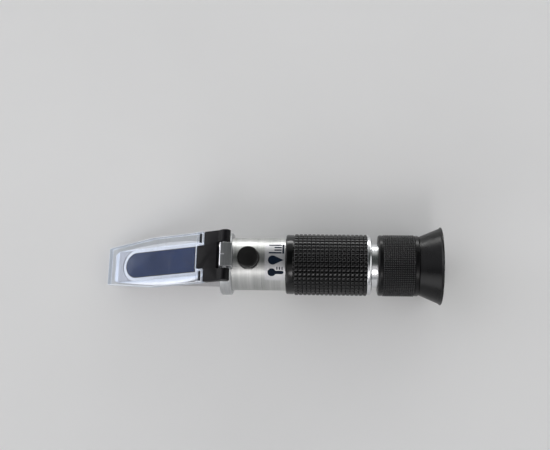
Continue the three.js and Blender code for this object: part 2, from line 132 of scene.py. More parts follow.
# Up the slope is X, square to it is Z: takes those coordinates to the frame's.
ON_SLOPE = Matrix.Translation(TIP) @ Matrix.Rotation(-SLOPE, 4, "Y")
ON_SLOPE_M = Matrix.Scale(MM, 4) @ ON_SLOPE @ Matrix.Scale(1 / MM, 4)    # the same, in metres
SQUARE_TO_SLOPE = Vector((-math.sin(SLOPE), 0, math.cos(SLOPE)))
# Turns a flat outline of (x, z) points upright, and a piece turned about X onto the pin.
UPRIGHT_SIDE = Matrix.Rotation(math.pi / 2, 4, "X")
ON_PIN = Matrix.Translation((PIN_X, 0, PIN_Z)) @ Matrix.Rotation(math.pi / 2, 4, "Z")


# ---- nodes
class Nodes:
    """Adds nodes to a shader tree, each from its inputs."""

    def __init__(self, tree):
        self.tree = tree

    def node(self, kind, **settings):
        n = self.tree.nodes.new(kind)
        for key, value in settings.items():
            setattr(n, key, value)
        return n

    def put(self, socket, value):
        if isinstance(value, bpy.types.NodeSocket):
            self.tree.links.new(value, socket)
        else:
            socket.default_value = value

    def fill(self, node, **values):
        for key, value in values.items():
            self.put(node.inputs[key.replace("_", " ")], value)

    def math(self, operation, a, b=0.0, c=0.0):
        n = self.node("ShaderNodeMath", operation=operation)
        for socket, value in zip(n.inputs, (a, b, c)):
            self.put(socket, value)
        return n.outputs[0]

    def vector(self, operation, a, b):
        """A vector sum or product; a SCALE's second value is a number."""
        n = self.node("ShaderNodeVectorMath", operation=operation)
        self.put(n.inputs[0], a)
        self.put(n.inputs["Scale" if operation == "SCALE" else 1], b)
        return n.outputs["Value" if operation == "DOT_PRODUCT" else "Vector"]

    def ramp(self, fac, low, high, out_low=0.0, out_high=1.0, shape="LINEAR"):
        n = self.node("ShaderNodeMapRange", interpolation_type=shape)
        self.fill(n, Value=fac, From_Min=low, From_Max=high, To_Min=out_low, To_Max=out_high)
        return n.outputs["Result"]


class Paint(Nodes):
    """A material whose node tree is written from the surface backwards."""

    def __init__(self, name):
        self.mat = bpy.data.materials.new(name)
        self.mat.use_nodes = True
        super().__init__(self.mat.node_tree)
        self.bsdf = self.tree.nodes["Principled BSDF"]
        self.out = self.tree.nodes["Material Output"]
        self.where = self.node("ShaderNodeTexCoord").outputs["Object"]

    def set(self, **values):
        self.fill(self.bsdf, **values)

    def noise(self, scale, detail=3.0, rough=0.55, stretch=(1, 1, 1), distortion=0.0):
        n = self.node("ShaderNodeTexNoise")
        self.fill(n, Vector=self.vector("MULTIPLY", self.where, stretch), Scale=scale,
                  Detail=detail, Roughness=rough, Distortion=distortion)
        return n.outputs["Fac"]

    def voronoi(self, scale):
        n = self.node("ShaderNodeTexVoronoi")
        self.fill(n, Vector=self.where, Scale=scale)
        return n.outputs["Distance"]

    def mix(self, fac, a, b):
        n = self.node("ShaderNodeMix", data_type="RGBA")
        self.put(n.inputs[0], fac)
        for socket, colour in ((n.inputs[6], a), (n.inputs[7], b)):
            self.put(socket, colour if isinstance(colour, bpy.types.NodeSocket) else (*colour, 1))
        return n.outputs[2]

    def bump(self, height, distance, strength=1.0, below=None):
        n = self.node("ShaderNodeBump")
        self.fill(n, Height=height, Distance=distance * MM, Strength=strength)
        if below is not None:
            self.fill(n, Normal=below)
        return n.outputs["Normal"]

    def edge_wear(self, distance):
        """1 on convex edges, 0 on flats, from how far a bevelled normal turns away."""
        bevel = self.node("ShaderNodeBevel", samples=4)
        self.fill(bevel, Radius=distance * MM)
        plain = self.node("ShaderNodeNewGeometry")
        same = self.vector("DOT_PRODUCT", bevel.outputs["Normal"], plain.outputs["Normal"])
        return self.ramp(same, 0.999, 0.93)


# ---- materials
def turned_metal(name, dark, light, roughness, spread=0.12):
    """Metal turned in a lathe: fine rings around the X axis, a few smudges."""
    p = Paint(name)
    rings = p.noise(2200, 4, 0.7, (1, 0.012, 0.012))
    broad = p.noise(260, 2, 0.5, (1, 0.05, 0.05))
    smudge = p.noise(90, 4, 0.6)
    tone = p.math("MULTIPLY_ADD", rings, 0.45, p.math("MULTIPLY", broad, 0.55))
    p.set(
        Base_Color=p.mix(p.ramp(tone, 0.35, 0.68), dark, light),
        Metallic=1.0,
        Roughness=p.math(
            "ADD", p.ramp(rings, 0.3, 0.7, roughness - spread / 2, roughness + spread / 2),
            p.ramp(smudge, 0.5, 0.75, 0.0, 0.07)),
        Anisotropic=0.55,
        Normal=p.bump(rings, 0.004, 0.5),
    )
    tangent = p.node("ShaderNodeTangent", direction_type="RADIAL", axis="X")
    p.put(p.bsdf.inputs["Tangent"], tangent.outputs[0])
    return p.mat


def milled_metal(name, dark, light, roughness):
    """Milled or blasted face: fine isotropic grain with faint strokes across."""
    p = Paint(name)
    grain = p.noise(5200, 3, 0.65)
    strokes = p.noise(1500, 3, 0.6, (1, 0.06, 0.3))
    cloud = p.noise(120, 3, 0.5)
    tone = p.math("MULTIPLY_ADD", strokes, 0.5, p.math("MULTIPLY", cloud, 0.5))
    p.set(
        Base_Color=p.mix(p.ramp(tone, 0.35, 0.65), dark, light),
        Metallic=1.0,
        Roughness=p.ramp(grain, 0.3, 0.7, roughness - 0.06, roughness + 0.08),
        Normal=p.bump(grain, 0.006, 0.5, p.bump(strokes, 0.004, 0.4)),
    )
    return p.mat


def rubber(name, base, dusty, roughness, grain_depth=0.02, wear=0.35, gloss=0.5):
    """Moulded rubber: fine grain, dust in patches, edges slightly polished."""
    p = Paint(name)
    grain = p.noise(3600, 3, 0.6)
    patches = p.noise(140, 5, 0.6)
    edges = p.edge_wear(wear)
    colour = p.mix(p.ramp(patches, 0.45, 0.75), base, dusty)
    p.set(
        Base_Color=p.mix(p.math("MULTIPLY", edges, 0.5), colour, tuple(2.2 * c for c in dusty)),
        Roughness=p.math(
            "SUBTRACT", p.ramp(patches, 0.3, 0.75, roughness - 0.05, roughness + 0.1),
            p.math("MULTIPLY", edges, 0.1)),
        Specular_IOR_Level=gloss,
        Normal=p.bump(grain, grain_depth, 0.6),
    )
    return p.mat


def black_plastic(name):
    """Moulded black plastic with a fine spark-eroded grain."""
    p = Paint(name)
    grain = p.voronoi(2600)
    cloud = p.noise(160, 4, 0.55)
    edges = p.edge_wear(0.3)
    colour = p.mix(p.ramp(cloud, 0.4, 0.7), (0.003, 0.0028, 0.0036), (0.007, 0.0064, 0.008))
    p.set(
        Base_Color=p.mix(p.math("MULTIPLY", edges, 0.4), colour, (0.05, 0.05, 0.055)),
        Roughness=p.ramp(cloud, 0.35, 0.7, 0.34, 0.46),
        Specular_IOR_Level=0.14,
        Normal=p.bump(grain, 0.012, 0.35),
    )
    return p.mat


def anodised(name, roughness=0.28, black=0.0045, gloss=0.24):
    """Black anodised aluminium, rubbed paler along sharp crests."""
    p = Paint(name)
    fine = p.noise(2400, 3, 0.6)
    cloud = p.noise(150, 4, 0.55)
    edges = p.edge_wear(0.18)
    rubbed = p.math("MULTIPLY", edges, p.ramp(p.noise(420, 3, 0.6), 0.4, 0.7))
    colour = p.mix(p.ramp(cloud, 0.4, 0.7), (0.7 * black, 0.7 * black, 0.8 * black),
                   (1.3 * black, 1.3 * black, 1.45 * black))
    p.set(
        Base_Color=p.mix(p.math("MULTIPLY", rubbed, 0.25), colour, (0.06, 0.06, 0.065)),
        Metallic=0.1,
        Specular_IOR_Level=gloss,
        Roughness=p.ramp(fine, 0.3, 0.7, roughness - 0.05, roughness + 0.07),
        Normal=p.bump(fine, 0.006, 0.5),
    )
    return p.mat


def clear_plastic(name, tint, haze, gloss_rough=0.04, ior=1.25, marked=1.0):
    """Clear acrylic or glass: reflections, finger haze, and scratches and dust if marked."""
    p = Paint(name)
    scratches = p.noise(900, 2, 0.5, (1, 0.03, 1), 0.6)
    smear = p.noise(75, 4, 0.6)
    dust = p.noise(4200, 2, 0.5)
    through = p.node("ShaderNodeBsdfTransparent")
    p.fill(through, Color=(*tint, 1))
    gloss = p.node("ShaderNodeBsdfGlossy")
    p.fill(gloss, Color=(1, 1, 1, 1), Normal=p.bump(scratches, 0.003 * marked, 0.3),
           Roughness=p.ramp(smear, 0.35, 0.75, gloss_rough, gloss_rough + 0.12))
    diffuse = p.node("ShaderNodeBsdfDiffuse")
    p.fill(diffuse, Color=(0.62, 0.66, 0.74, 1))

    facing = p.node("ShaderNodeLayerWeight")
    p.fill(facing, Blend=0.5)
    straight = ((ior - 1) / (ior + 1)) ** 2
    grazing = p.math("POWER", facing.outputs["Facing"], 5)
    reflected = p.math("MULTIPLY_ADD", grazing, 1 - straight, straight)
    marks = p.math("ADD", p.ramp(smear, 0.45, 0.8, haze, haze * 2.2),
                   p.ramp(dust, 0.68, 0.76, 0.0, 0.08 * marked))
    marks = p.math("ADD", marks, p.ramp(scratches, 0.66, 0.72, 0.0, 0.05 * marked))

    def mix(amount, first, second):
        n = p.node("ShaderNodeMixShader")
        for socket, value in zip(n.inputs, (amount, first, second)):
            p.put(socket, value)
        return n.outputs[0]

    hazed = mix(marks, through.outputs[0], diffuse.outputs[0])
    p.put(p.out.inputs["Surface"], mix(reflected, hazed, gloss.outputs[0]))
    p.tree.nodes.remove(p.bsdf)
    return p.mat


def acrylic_edge(name):
    """Sawn and flamed edge of the clear plate: milky, with a painted glow from emission that stands in
    for the light it catches.
    """
    p = Paint(name)
    saw = p.noise(1700, 3, 0.6, (1, 1, 0.2))
    cloud = p.noise(200, 3, 0.5)
    p.set(
        Base_Color=p.mix(p.ramp(saw, 0.35, 0.7), (0.62, 0.66, 0.74), (0.92, 0.95, 1.0)),
        Roughness=p.ramp(cloud, 0.35, 0.7, 0.12, 0.3),
        Alpha=p.ramp(cloud, 0.3, 0.7, 0.7, 0.9),
        # Emission: a painted glow along the plate's rounded edges, which are no lamp.
        Emission_Color=(0.86, 0.91, 1.0, 1),
        Emission_Strength=p.ramp(cloud, 0.3, 0.7, 0.2, 0.34),
        Normal=p.bump(saw, 0.01, 0.4),
    )
    return p.mat


def prism_glass(name):
    """Polished prism with a blackened back: deep slate blue with a hard gloss."""
    p = Paint(name)
    depth = p.noise(60, 2, 0.5)
    specks = p.noise(5200, 2, 0.5)
    grain = p.noise(2400, 3, 0.7)
    wipe = p.noise(700, 3, 0.6, (0.05, 1, 0.05))
    tone = p.math("MULTIPLY_ADD", grain, 0.6, p.math("MULTIPLY", depth, 0.4))
    p.set(
        Base_Color=p.mix(p.ramp(tone, 0.38, 0.64), (0.009, 0.024, 0.082), (0.027, 0.056, 0.168)),
        Roughness=p.math("ADD", p.ramp(wipe, 0.4, 0.75, 0.05, 0.12),
                         p.ramp(specks, 0.66, 0.74, 0.0, 0.25)),
        IOR=1.31,
        Normal=p.bump(wipe, 0.0008, 0.2),
    )
    return p.mat


def label_film(name):
    """Printed metallised film."""
    p = Paint(name)
    fibre = p.noise(2800, 3, 0.6)
    cloud = p.noise(130, 4, 0.6)
    p.set(
        Base_Color=p.mix(p.ramp(cloud, 0.35, 0.7), (0.46, 0.46, 0.475), (0.55, 0.55, 0.565)),
        Metallic=0.75,
        Roughness=p.ramp(fibre, 0.3, 0.7, 0.38, 0.5),
        Normal=p.bump(fibre, 0.008, 0.4),
    )
    return p.mat


def ink(name):
    """Matt dark blue printing ink."""
    p = Paint(name)
    grain = p.noise(3800, 3, 0.6)
    p.set(
        Base_Color=p.mix(p.ramp(grain, 0.35, 0.7), (0.003, 0.007, 0.016), (0.009, 0.016, 0.03)),
        Roughness=p.ramp(grain, 0.3, 0.7, 0.4, 0.55),
        Specular_IOR_Level=0.06,
        Normal=p.bump(grain, 0.004, 0.4),
    )
    return p.mat


def studio_floor(name):
    """Plain pale paper."""
    p = Paint(name)
    cloud = p.noise(6, 4, 0.5)
    p.set(
        Base_Color=p.mix(p.ramp(cloud, 0.3, 0.7), (0.82, 0.82, 0.82), (0.86, 0.86, 0.86)),
        Roughness=0.75,
        Specular_IOR_Level=0.2,
    )
    return p.mat


MAT = {
    "barrel": turned_metal("satin_aluminium_turned", (0.35, 0.355, 0.35), (0.57, 0.575, 0.565), 0.33),
    "collar": turned_metal("satin_aluminium_collar", (0.40, 0.41, 0.42), (0.62, 0.63, 0.64), 0.3),
    "seat": milled_metal("satin_aluminium_milled", (0.45, 0.44, 0.455), (0.56, 0.55, 0.57), 0.34),
    # Finish of the lapped ring, also laid on the seat's back bevel as a painted highlight.
    "seat_ring_and_bevel_highlight": milled_metal("satin_aluminium_lapped_and_highlight", (0.72, 0.715, 0.735), (0.84, 0.835, 0.855), 0.3),
    # Lighter copy of the milled finish for the seat's front bevel, the nose and the block's chamfers: a
    # painted highlight.
    "seat_edge_highlight": milled_metal("satin_aluminium_bevel_highlight", (0.76, 0.76, 0.79), (0.86, 0.86, 0.89), 0.4),
    "block": milled_metal("satin_aluminium_block", (0.3, 0.31, 0.32), (0.46, 0.47, 0.48), 0.36),
    "chrome": turned_metal("chrome_polished", (0.72, 0.73, 0.75), (0.82, 0.83, 0.85), 0.18, spread=0.06),
    "steel": turned_metal("steel_turned", (0.42, 0.43, 0.44), (0.58, 0.59, 0.6), 0.28),
    "brass": turned_metal("brass_turned", (0.5, 0.36, 0.14), (0.7, 0.52, 0.24), 0.3),
    "grip": rubber("rubber_grip", (0.0014, 0.0014, 0.0016), (0.003, 0.003, 0.0033), 0.18,
                   grain_depth=0.004, wear=0.12, gloss=0.4),
    "cup": rubber("rubber_eyecup", (0.002, 0.002, 0.0024), (0.005, 0.005, 0.0055), 0.27,
                  grain_depth=0.008, wear=0.4, gloss=0.22),
    "cap": rubber("rubber_cap", (0.0035, 0.0034, 0.0033), (0.008, 0.0075, 0.007), 0.42,
                  grain_depth=0.015, wear=0.3, gloss=0.3),
    "seal": rubber("rubber_seal", (0.02, 0.022, 0.03), (0.04, 0.043, 0.055), 0.5),
    "bracket": black_plastic("black_plastic_moulded"),
    "anodised": anodised("black_anodised"),
    # A lighter, glossier copy for the knurl's crests: partly rubbed wear, partly painted highlight.
    "anodised_crest": anodised("black_anodised_crest_highlight", roughness=0.34, black=0.01, gloss=0.6),
    "inner_black": anodised("black_anodised_matt", roughness=0.55),
    "plate": clear_plastic("clear_acrylic_face", (0.905, 0.925, 0.95), 0.012),
    # Walls of the plate: a darker tint, painted shade standing in for the light the walls bend away.
    "plate_side": clear_plastic("clear_acrylic_wall_painted_shade", (0.7, 0.75, 0.83), 0.03, gloss_rough=0.08, ior=1.4),
    # Edge finish of the plate, with a painted glow.
    "plate_edge": acrylic_edge("clear_acrylic_edge_painted_glow"),
    "lens": clear_plastic("lens_glass_coated", (0.78, 0.9, 0.88), 0.01,
                          gloss_rough=0.02, ior=1.5, marked=0.0),
    "prism": prism_glass("prism_glass_blackened"),
    "label": label_film("label_film"),
    "ink": ink("label_ink"),
    "floor": studio_floor("studio_floor"),
}


# ---- mesh helpers
def new_object(name, data):
    obj = bpy.data.objects.new(name, data)
    bpy.context.scene.collection.objects.link(obj)
    return obj


def build(name, verts, faces, mats, body, replaces=(), slot=None, sharp=35, matrix=None):
    """Makes a piece from millimetre vertices, smooth except over sharp edges."""
    mesh = bpy.data.meshes.new(name)
    mesh.from_pydata([tuple(v) for v in np.asarray(verts, float)], [], faces)
    if matrix is not None:
        mesh.transform(matrix)
    mesh.transform(Matrix.Scale(MM, 4))
    return dress(new_object(name, mesh), mats, body, replaces, slot, sharp)


def dress(obj, mats, body, replaces=(), slot=None, sharp=35):
    """Gives a piece its materials and its body, and hides the nodes it stands for. The slot is not used.
    """
    obj.data.materials.clear()
    for m in [mats] if isinstance(mats, str) else mats:
        obj.data.materials.append(MAT[m])
    tidy_normals(obj, sharp)
    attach(obj, body)
    if replaces:
        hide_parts(*replaces)
    return obj


def tidy_normals(obj, sharp):
    """Merges doubled points, turns faces outwards and shades all but sharp edges smooth."""
    bm = bmesh.new()
    bm.from_mesh(obj.data)
    bmesh.ops.remove_doubles(bm, verts=bm.verts, dist=1e-7)
    bmesh.ops.recalc_face_normals(bm, faces=bm.faces)
    bm.to_mesh(obj.data)
    bm.free()
    obj.data.shade_smooth()
    obj.data.set_sharp_from_angle(angle=math.radians(sharp))


def fillets(points, closed, steps=5):
    """Rounds the corners of an outline of (a, b, radius) points, as arcs."""
    result = []
    count = len(points)
    for i, (a, b, radius) in enumerate(points):
        here = np.array((a, b), float)
        at_end = not closed and i in (0, count - 1)
        if radius <= 0 or at_end:
            result.append(here)
            continue
        before = np.array(points[i - 1][:2], float) - here
        after = np.array(points[(i + 1) % count][:2], float) - here
        lb, la = np.linalg.norm(before), np.linalg.norm(after)
        u, v = before / lb, after / la
        half = math.acos(max(-1, min(1, float(u @ v)))) / 2
        if half > math.pi / 2 - 0.02:
            result.append(here)
            continue
        reach = min(radius / math.tan(half), 0.49 * lb, 0.49 * la)
        r = reach * math.tan(half)
        middle = (u + v) / np.linalg.norm(u + v)
        centre = here + middle * (r / math.sin(half))
        start, end = here + u * reach - centre, here + v * reach - centre
        sweep = math.atan2(start[0] * end[1] - start[1] * end[0], float(start @ end))
        for k in range(steps + 1):
            t = sweep * k / steps
            c, s = math.cos(t), math.sin(t)
            result.append(centre + np.array((c * start[0] - s * start[1],
                                             s * start[0] + c * start[1])))
    return [(float(p[0]), float(p[1])) for p in result]


def revolve_mesh(rows, around=AROUND):
    """Vertices and faces of a body turned about X. A row is (x, radius or radii)."""
    angle = np.arange(around) * 2 * math.pi / around
    verts, faces, starts = [], [], []
    for x, r in rows:
        starts.append(len(verts))
        if np.isscalar(r) and r <= 1e-6:
            verts.append((x, 0, 0))
            continue
        verts.extend(zip(np.full(around, x, float), r * np.sin(angle), r * np.cos(angle)))
    sizes = [b - a for a, b in zip(starts, starts[1:] + [len(verts)])]

    def join(i, j):
        a, b = starts[i], starts[j]
        if sizes[i] == 1 and sizes[j] == 1:
            return
        for k in range(around):
            n = (k + 1) % around
            if sizes[i] == 1:
                faces.append((a, b + n, b + k))
            elif sizes[j] == 1:
                faces.append((a + k, a + n, b))
            else:
                faces.append((a + k, a + n, b + n, b + k))

    for i in range(len(rows) - 1):
        join(i, i + 1)
    if sizes[0] > 1 or sizes[-1] > 1:
        join(len(rows) - 1, 0)
    return verts, faces


def revolve(name, outline, mats, body, replaces=(), slot=None, around=AROUND, matrix=None):
    """A round piece from (x, radius, corner radius) points."""
    on_axis = outline[0][1] == 0 and outline[-1][1] == 0
    verts, faces = revolve_mesh(fillets(outline, not on_axis), around)
    return build(name, verts, faces, mats, body, replaces, slot, matrix=matrix)


def prism_mesh(outline, z0, z1):
    """A flat outline of (x, y) points given a thickness."""
    n = len(outline)
    verts = [(x, y, z0) for x, y in outline] + [(x, y, z1) for x, y in outline]
    faces = [tuple(range(n))[::-1], tuple(range(n, 2 * n))]
    faces += [(i, (i + 1) % n, n + (i + 1) % n, n + i) for i in range(n)]
    return verts, faces


def solid(verts, faces, matrix=None, bevel=0.0, segments=3):
    """A scratch object for joins and cuts, its sharp edges rounded."""
    mesh = bpy.data.meshes.new("scratch")
    mesh.from_pydata([tuple(v) for v in verts], [], faces)
    bm = bmesh.new()
    bm.from_mesh(mesh)
    bmesh.ops.recalc_face_normals(bm, faces=bm.faces)
    if bevel > 0:
        edges = [e for e in bm.edges if e.calc_face_angle(0) > math.radians(28)]
        bmesh.ops.bevel(bm, geom=edges, offset=bevel, offset_type="OFFSET", segments=segments,
                        profile=0.5, affect="EDGES", clamp_overlap=True)
    bm.to_mesh(mesh)
    bm.free()
    if matrix is not None:
        mesh.transform(matrix)
    mesh.transform(Matrix.Scale(MM, 4))
    return new_object("scratch", mesh)


def box_solid(x0, x1, y0, y1, z0, z1, bevel=0.0):
    return solid(*prism_mesh([(x0, y0), (x1, y0), (x1, y1), (x0, y1)], z0, z1), None, bevel, 2)


def combine(base, other, operation):
    """Joins other to base or cuts it away, and removes other."""
    modifier = base.modifiers.new("combine", "BOOLEAN")
    modifier.operation = operation
    modifier.solver = "EXACT"
    modifier.object = other
    bpy.context.view_layer.update()
    graph = bpy.context.evaluated_depsgraph_get()
    mesh = bpy.data.meshes.new_from_object(base.evaluated_get(graph), depsgraph=graph)
    base.modifiers.clear()
    old = base.data
    base.data = mesh
    bpy.data.meshes.remove(old)
    bpy.data.objects.remove(other)


def finished(obj, name, *args, **kwargs):
    """Turns a scratch object into a named piece."""
    obj.name = name
    obj.data.name = name
    return dress(obj, *args, **kwargs)


# ---- head
def slope_z(x, n):
    """Height above the axis, at x, of a plane parallel to the slope."""
    return TIP.z + (x - TIP.x) * math.tan(SLOPE) + n / math.cos(SLOPE)


def head_section(x):
    """One upright slice of the head: an oval cut by the seat, its bevels and the nose."""
    sharpness, far, tiny = 4.0, 60.0, 1e-6
    seat = slope_z(x, SEAT_N)
    nose_x = SEAT.x0 + NOSE_L
    limit = seat + min(0.0, (x - nose_x) * (math.tan(NOSE) - math.tan(SLOPE)))
    centre = (min(limit, HEAD_HALF_H) - HEAD_HALF_H) / 2
    angle = np.arange(HEAD_AROUND) * 2 * math.pi / HEAD_AROUND
    dy, dz = np.sin(angle), np.cos(angle)

    # How far each ray from the centre gets: to the oval, the seat or nose, and each bevel.
    a = (dy / HEAD_HALF_W) ** 2 + (dz / HEAD_HALF_H) ** 2
    b = centre * dz / HEAD_HALF_H ** 2
    c = (centre / HEAD_HALF_H) ** 2 - 1
    reach = [(-b + np.sqrt(b * b - a * c)) / a]
    steep = math.tan(SIDE_BEVEL) / math.cos(SLOPE)
    bevel_gap = seat + SEAT_FLAT * steep - centre
    for toward, gap in ((dz, limit - centre), (dz + dy * steep, bevel_gap),
                        (dz - dy * steep, bevel_gap)):
        reach.append(np.where(toward > tiny, gap / np.maximum(toward, tiny), far))
    reach = np.clip(np.array(reach), 0.05, far)

    # A soft least of them rounds the edges.
    least = reach.min(0)
    soft = least - np.log(np.exp(-sharpness * (reach - least)).sum(0)) / sharpness
    return list(zip(np.full(HEAD_AROUND, x), soft * dy, centre + soft * dz))


def prism_outline(margin, arc_steps=28):
    """The prism's top edge and what runs around it, in slope coordinates."""
    w = PRISM_HALF + margin
    centre = PRISM_S0 + PRISM_HALF
    points = [(PRISM_S1 + margin, -w), (PRISM_S1 + margin, w)]
    for k in range(arc_steps + 1):
        t = math.pi / 2 + math.pi * k / arc_steps
        points.append((centre + w * math.cos(t), w * math.sin(t)))
    return points


def make_wedge():
    """The sloped part of the head, with the step and the pocket around the prism."""
    x0, x1 = SEAT.x0, COLLAR_X0 + 0.8
    stations = [x0, x0 + 0.08, x0 + 0.25, *np.linspace(x0 + 0.5, x0 + 1.6, 7),
                *np.linspace(x0 + 2, x1, 120)]
    tip_rounding = (0.3, 0.1)            # how much the first slices draw in
    verts, faces = [], []
    for i, x in enumerate(stations):
        ring = head_section(x)
        if i < len(tip_rounding):
            shrink = tip_rounding[i]
            mid = np.mean(ring, axis=0)
            out = np.array(ring) - mid
            length = np.linalg.norm(out, axis=1, keepdims=True)
            ring = mid + out * (1 - shrink / np.maximum(length, shrink * 2))
        verts.extend(ring)
    for i in range(len(stations) - 1):
        a, b = i * HEAD_AROUND, (i + 1) * HEAD_AROUND
        for k in range(HEAD_AROUND):
            n = (k + 1) % HEAD_AROUND
            faces.append((a + k, a + n, b + n, b + k))
    faces.append(tuple(range(HEAD_AROUND))[::-1])
    faces.append(tuple(range(len(verts) - HEAD_AROUND, len(verts))))
    head = solid(verts, faces)
    for margin, bottom in ((STEP_W, SEAT_N - STEP_DEPTH), (BEAD_W + 0.02, SEAT_N - 6)):
        cutter = prism_mesh(prism_outline(margin), bottom, SEAT_N + 3)
        combine(head, solid(*cutter, ON_SLOPE), "DIFFERENCE")
    head = finished(head, "seat_wedge", ["seat", "seat_ring_and_bevel_highlight", "seat_edge_highlight"], "body",
                    ["prism_seat"], "satin_aluminium", sharp=28)
    mark_seat(head)


def mark_seat(head):
    """The lapped ring takes a finish of its own. The bevels take lighter copies of the milled finish as
    painted highlights: the back bevel the ring's, the front bevel and the nose a brighter one.
    """
    to_slope = ON_SLOPE_M.inverted()
    ring_n = SEAT_N - STEP_DEPTH
    for face in head.data.polygons:
        n = (to_slope @ face.center).z / MM
        lean = face.normal.dot(SQUARE_TO_SLOPE)
        if lean > 0.97 and abs(n - ring_n) < 0.05:
            face.material_index = 1
        # Painted highlight: the back bevel takes the ring's lighter finish, the front bevel and the nose
        # the brightest one.
        elif 0.5 < lean < 0.985:
            face.material_index = 1 if face.normal.y > 0.25 else 2


def make_collar():
    bore = TUBE_R + 0.05
    revolve("seat_collar", [
        (COLLAR_X0, 0, 0), (COLLAR_X0, COLLAR_R - 0.7, 0.15), (COLLAR_X0 + 0.7, COLLAR_R, 0.35),
        (COLLAR_X1 - 0.5, COLLAR_R, 0.35), (COLLAR_X1, COLLAR_R - 0.5, 0.2),
        (COLLAR_X1, bore, 0.1), (COLLAR_X1 - 3, bore, 0), (COLLAR_X1 - 3, 0, 0),
    ], "collar", "body", slot="satin_aluminium")


def make_hinge_block():
    """The block that the cover's pin runs through, with a notch to centre the cover by."""
    x0, x1, top = BLOCK_X0, SEAT.x1, SEAT.z1
    root, step, step_x = 11, 12.9, COLLAR_X1 - 0.1
    side = fillets([
        (x0, root, 0), (step_x, root, 0), (step_x, step, 0), (x1, step, 0.3),
        (x1, top, 0), (x0 + 0.4, top, 0), (x0, top - 0.4, 0),
    ], True, 3)
    block = solid(*prism_mesh(side, -BLOCK_HALF, BLOCK_HALF), UPRIGHT_SIDE, 0.5, 4)
    hole = solid(*revolve_mesh([(-20, 0), (-20, 1.15), (20, 1.15), (20, 0)], 32), ON_PIN)
    combine(block, hole, "DIFFERENCE")
    notch_l, notch_half, notch_d = 2.2, 0.3, 0.3
    notch = box_solid(x0 - 1, x0 + notch_l, -notch_half, notch_half, top - notch_d, top + 1)
    combine(block, notch, "DIFFERENCE")
    block = finished(block, "hinge_block", ["block", "seat_edge_highlight"], "body",
                     slot="satin_aluminium", sharp=25)
    # The chamfers and the notch take the lighter bevel finish: a painted highlight.
    for face in block.data.polygons:
        x, y, z = (c / MM for c in face.center)
        in_notch = x < x0 + 2 and abs(y) < 0.4 and z > 13
        if max(abs(c) for c in face.normal) < 0.96 or in_notch:
            face.material_index = 1


def make_prism():
    glass = solid(*prism_mesh(prism_outline(0), SEAT_N - 5.2, SEAT_N + 0.02), None, 0.12, 2)
    glass.data.transform(ON_SLOPE_M)
    finished(glass, "measuring_prism_glass", "prism", "body", ["measuring_prism"],
             "prism_glass", sharp=25)
    outer, inner = prism_outline(BEAD_W), prism_outline(0.02)
    n = len(outer)
    low, high = SEAT_N - 2, SEAT_N - 0.12
    verts = [(*p, z) for z in (low, high) for ring in (outer, inner) for p in ring]
    faces = []
    for i in range(n):
        j = (i + 1) % n
        faces += [(i, j, 2 * n + j, 2 * n + i), (n + j, n + i, 3 * n + i, 3 * n + j),
                  (2 * n + i, 2 * n + j, 3 * n + j, 3 * n + i), (j, i, n + i, n + j)]
    seal = solid(verts, faces)
    seal.data.transform(ON_SLOPE_M)
    finished(seal, "prism_seal_bead", "seal", "body", ["prism_seal"], "rubber", sharp=30)


# ---- the cover
def make_plate():
    """The clear plate: it widens from its tip and carries two slotted ears at its end."""
    tip_half, half, shoulder, end = 9.05, 12.0, 25.4, PLATE_END
    notch, notch_s = 5.7, 50.1           # opening for the bracket's tongue
    corner, blend, inside = 0.5, 2.5, 0.4
    blank = fillets([
        (0, -tip_half, corner), (shoulder, -half, blend), (end, -half, corner),
        (end, -notch, inside), (notch_s, -notch, inside), (notch_s, notch, inside),
        (end, notch, inside), (end, half, corner), (shoulder, half, blend),
        (0, tip_half, corner),
    ], True, 4)
    plate = solid(*prism_mesh(blank, -PLATE_T, 0), None, 0.22, 2)
    plate.data.transform(ON_SLOPE_M)
    for side in (1, -1):
        y0, y1 = sorted((side * EAR_Y0, side * EAR_Y1))
        ear = box_solid(EAR_S0, PLATE_END - 0.1, y0, y1, -1.2, 0.7, 0.2)
        slot = box_solid(SLOT_S0, SLOT_S1, y0 + SLOT_INSET, y1 - SLOT_INSET, -0.9, 3)
        combine(ear, slot, "DIFFERENCE")
        ear.data.transform(ON_SLOPE_M)
        combine(plate, ear, "UNION")
    plate = finished(plate, "daylight_plate_clear", ["plate", "plate_edge", "plate_side"],
                     "cover", ["daylight_plate"], "clear_acrylic", sharp=20)
    mark_edges(plate)


def mark_edges(plate):
    """The rounded edges take the edge finish with its painted glow; the walls between them are clear,
    with a darker tint that is painted shade.
    """
    for face in plate.data.polygons:
        lean = abs(face.normal.dot(SQUARE_TO_SLOPE))
        face.material_index = 0 if lean > 0.97 else 1 if lean > 0.12 else 2


def make_bracket():
    """A flat frame around the hinge block, with an arm to the pin on each side of it."""
    front, half = PLATE_END + 0.3, BRACKET_HALF
    tongue_s, tongue = 50.4, 5.4
    cut_s, cut = 61.0, 6.3               # opening for the hinge block
    back = cut_s + 1.5
    blank = fillets([
        (tongue_s, -tongue, 0.5), (front, -tongue, 0.6), (front, -half, 0.7),
        (back, -half, 0), (back, -cut, 0), (cut_s, -cut, 0.6), (cut_s, cut, 0.6),
        (back, cut, 0), (back, half, 0), (front, half, 0.7),
        (front, tongue, 0.6), (tongue_s, tongue, 0.5),
    ], True, 4)
    bracket = solid(*prism_mesh(blank, -PLATE_T, 0), None, 0.2, 3)
    for side in (1, -1):
        y0, y1 = sorted((-side * (cut + 0.01), -side * (half - 0.02)))
        arm = solid(*prism_mesh(arm_outline(cut_s - 1.2), y0, y1), UPRIGHT_SIDE, 0.22, 3)
        combine(bracket, arm, "UNION")
    bracket.data.transform(ON_SLOPE_M)
    finished(bracket, "plate_bracket_moulded", "bracket", "cover", ["plate_bracket"],
             "black_plastic", sharp=30)


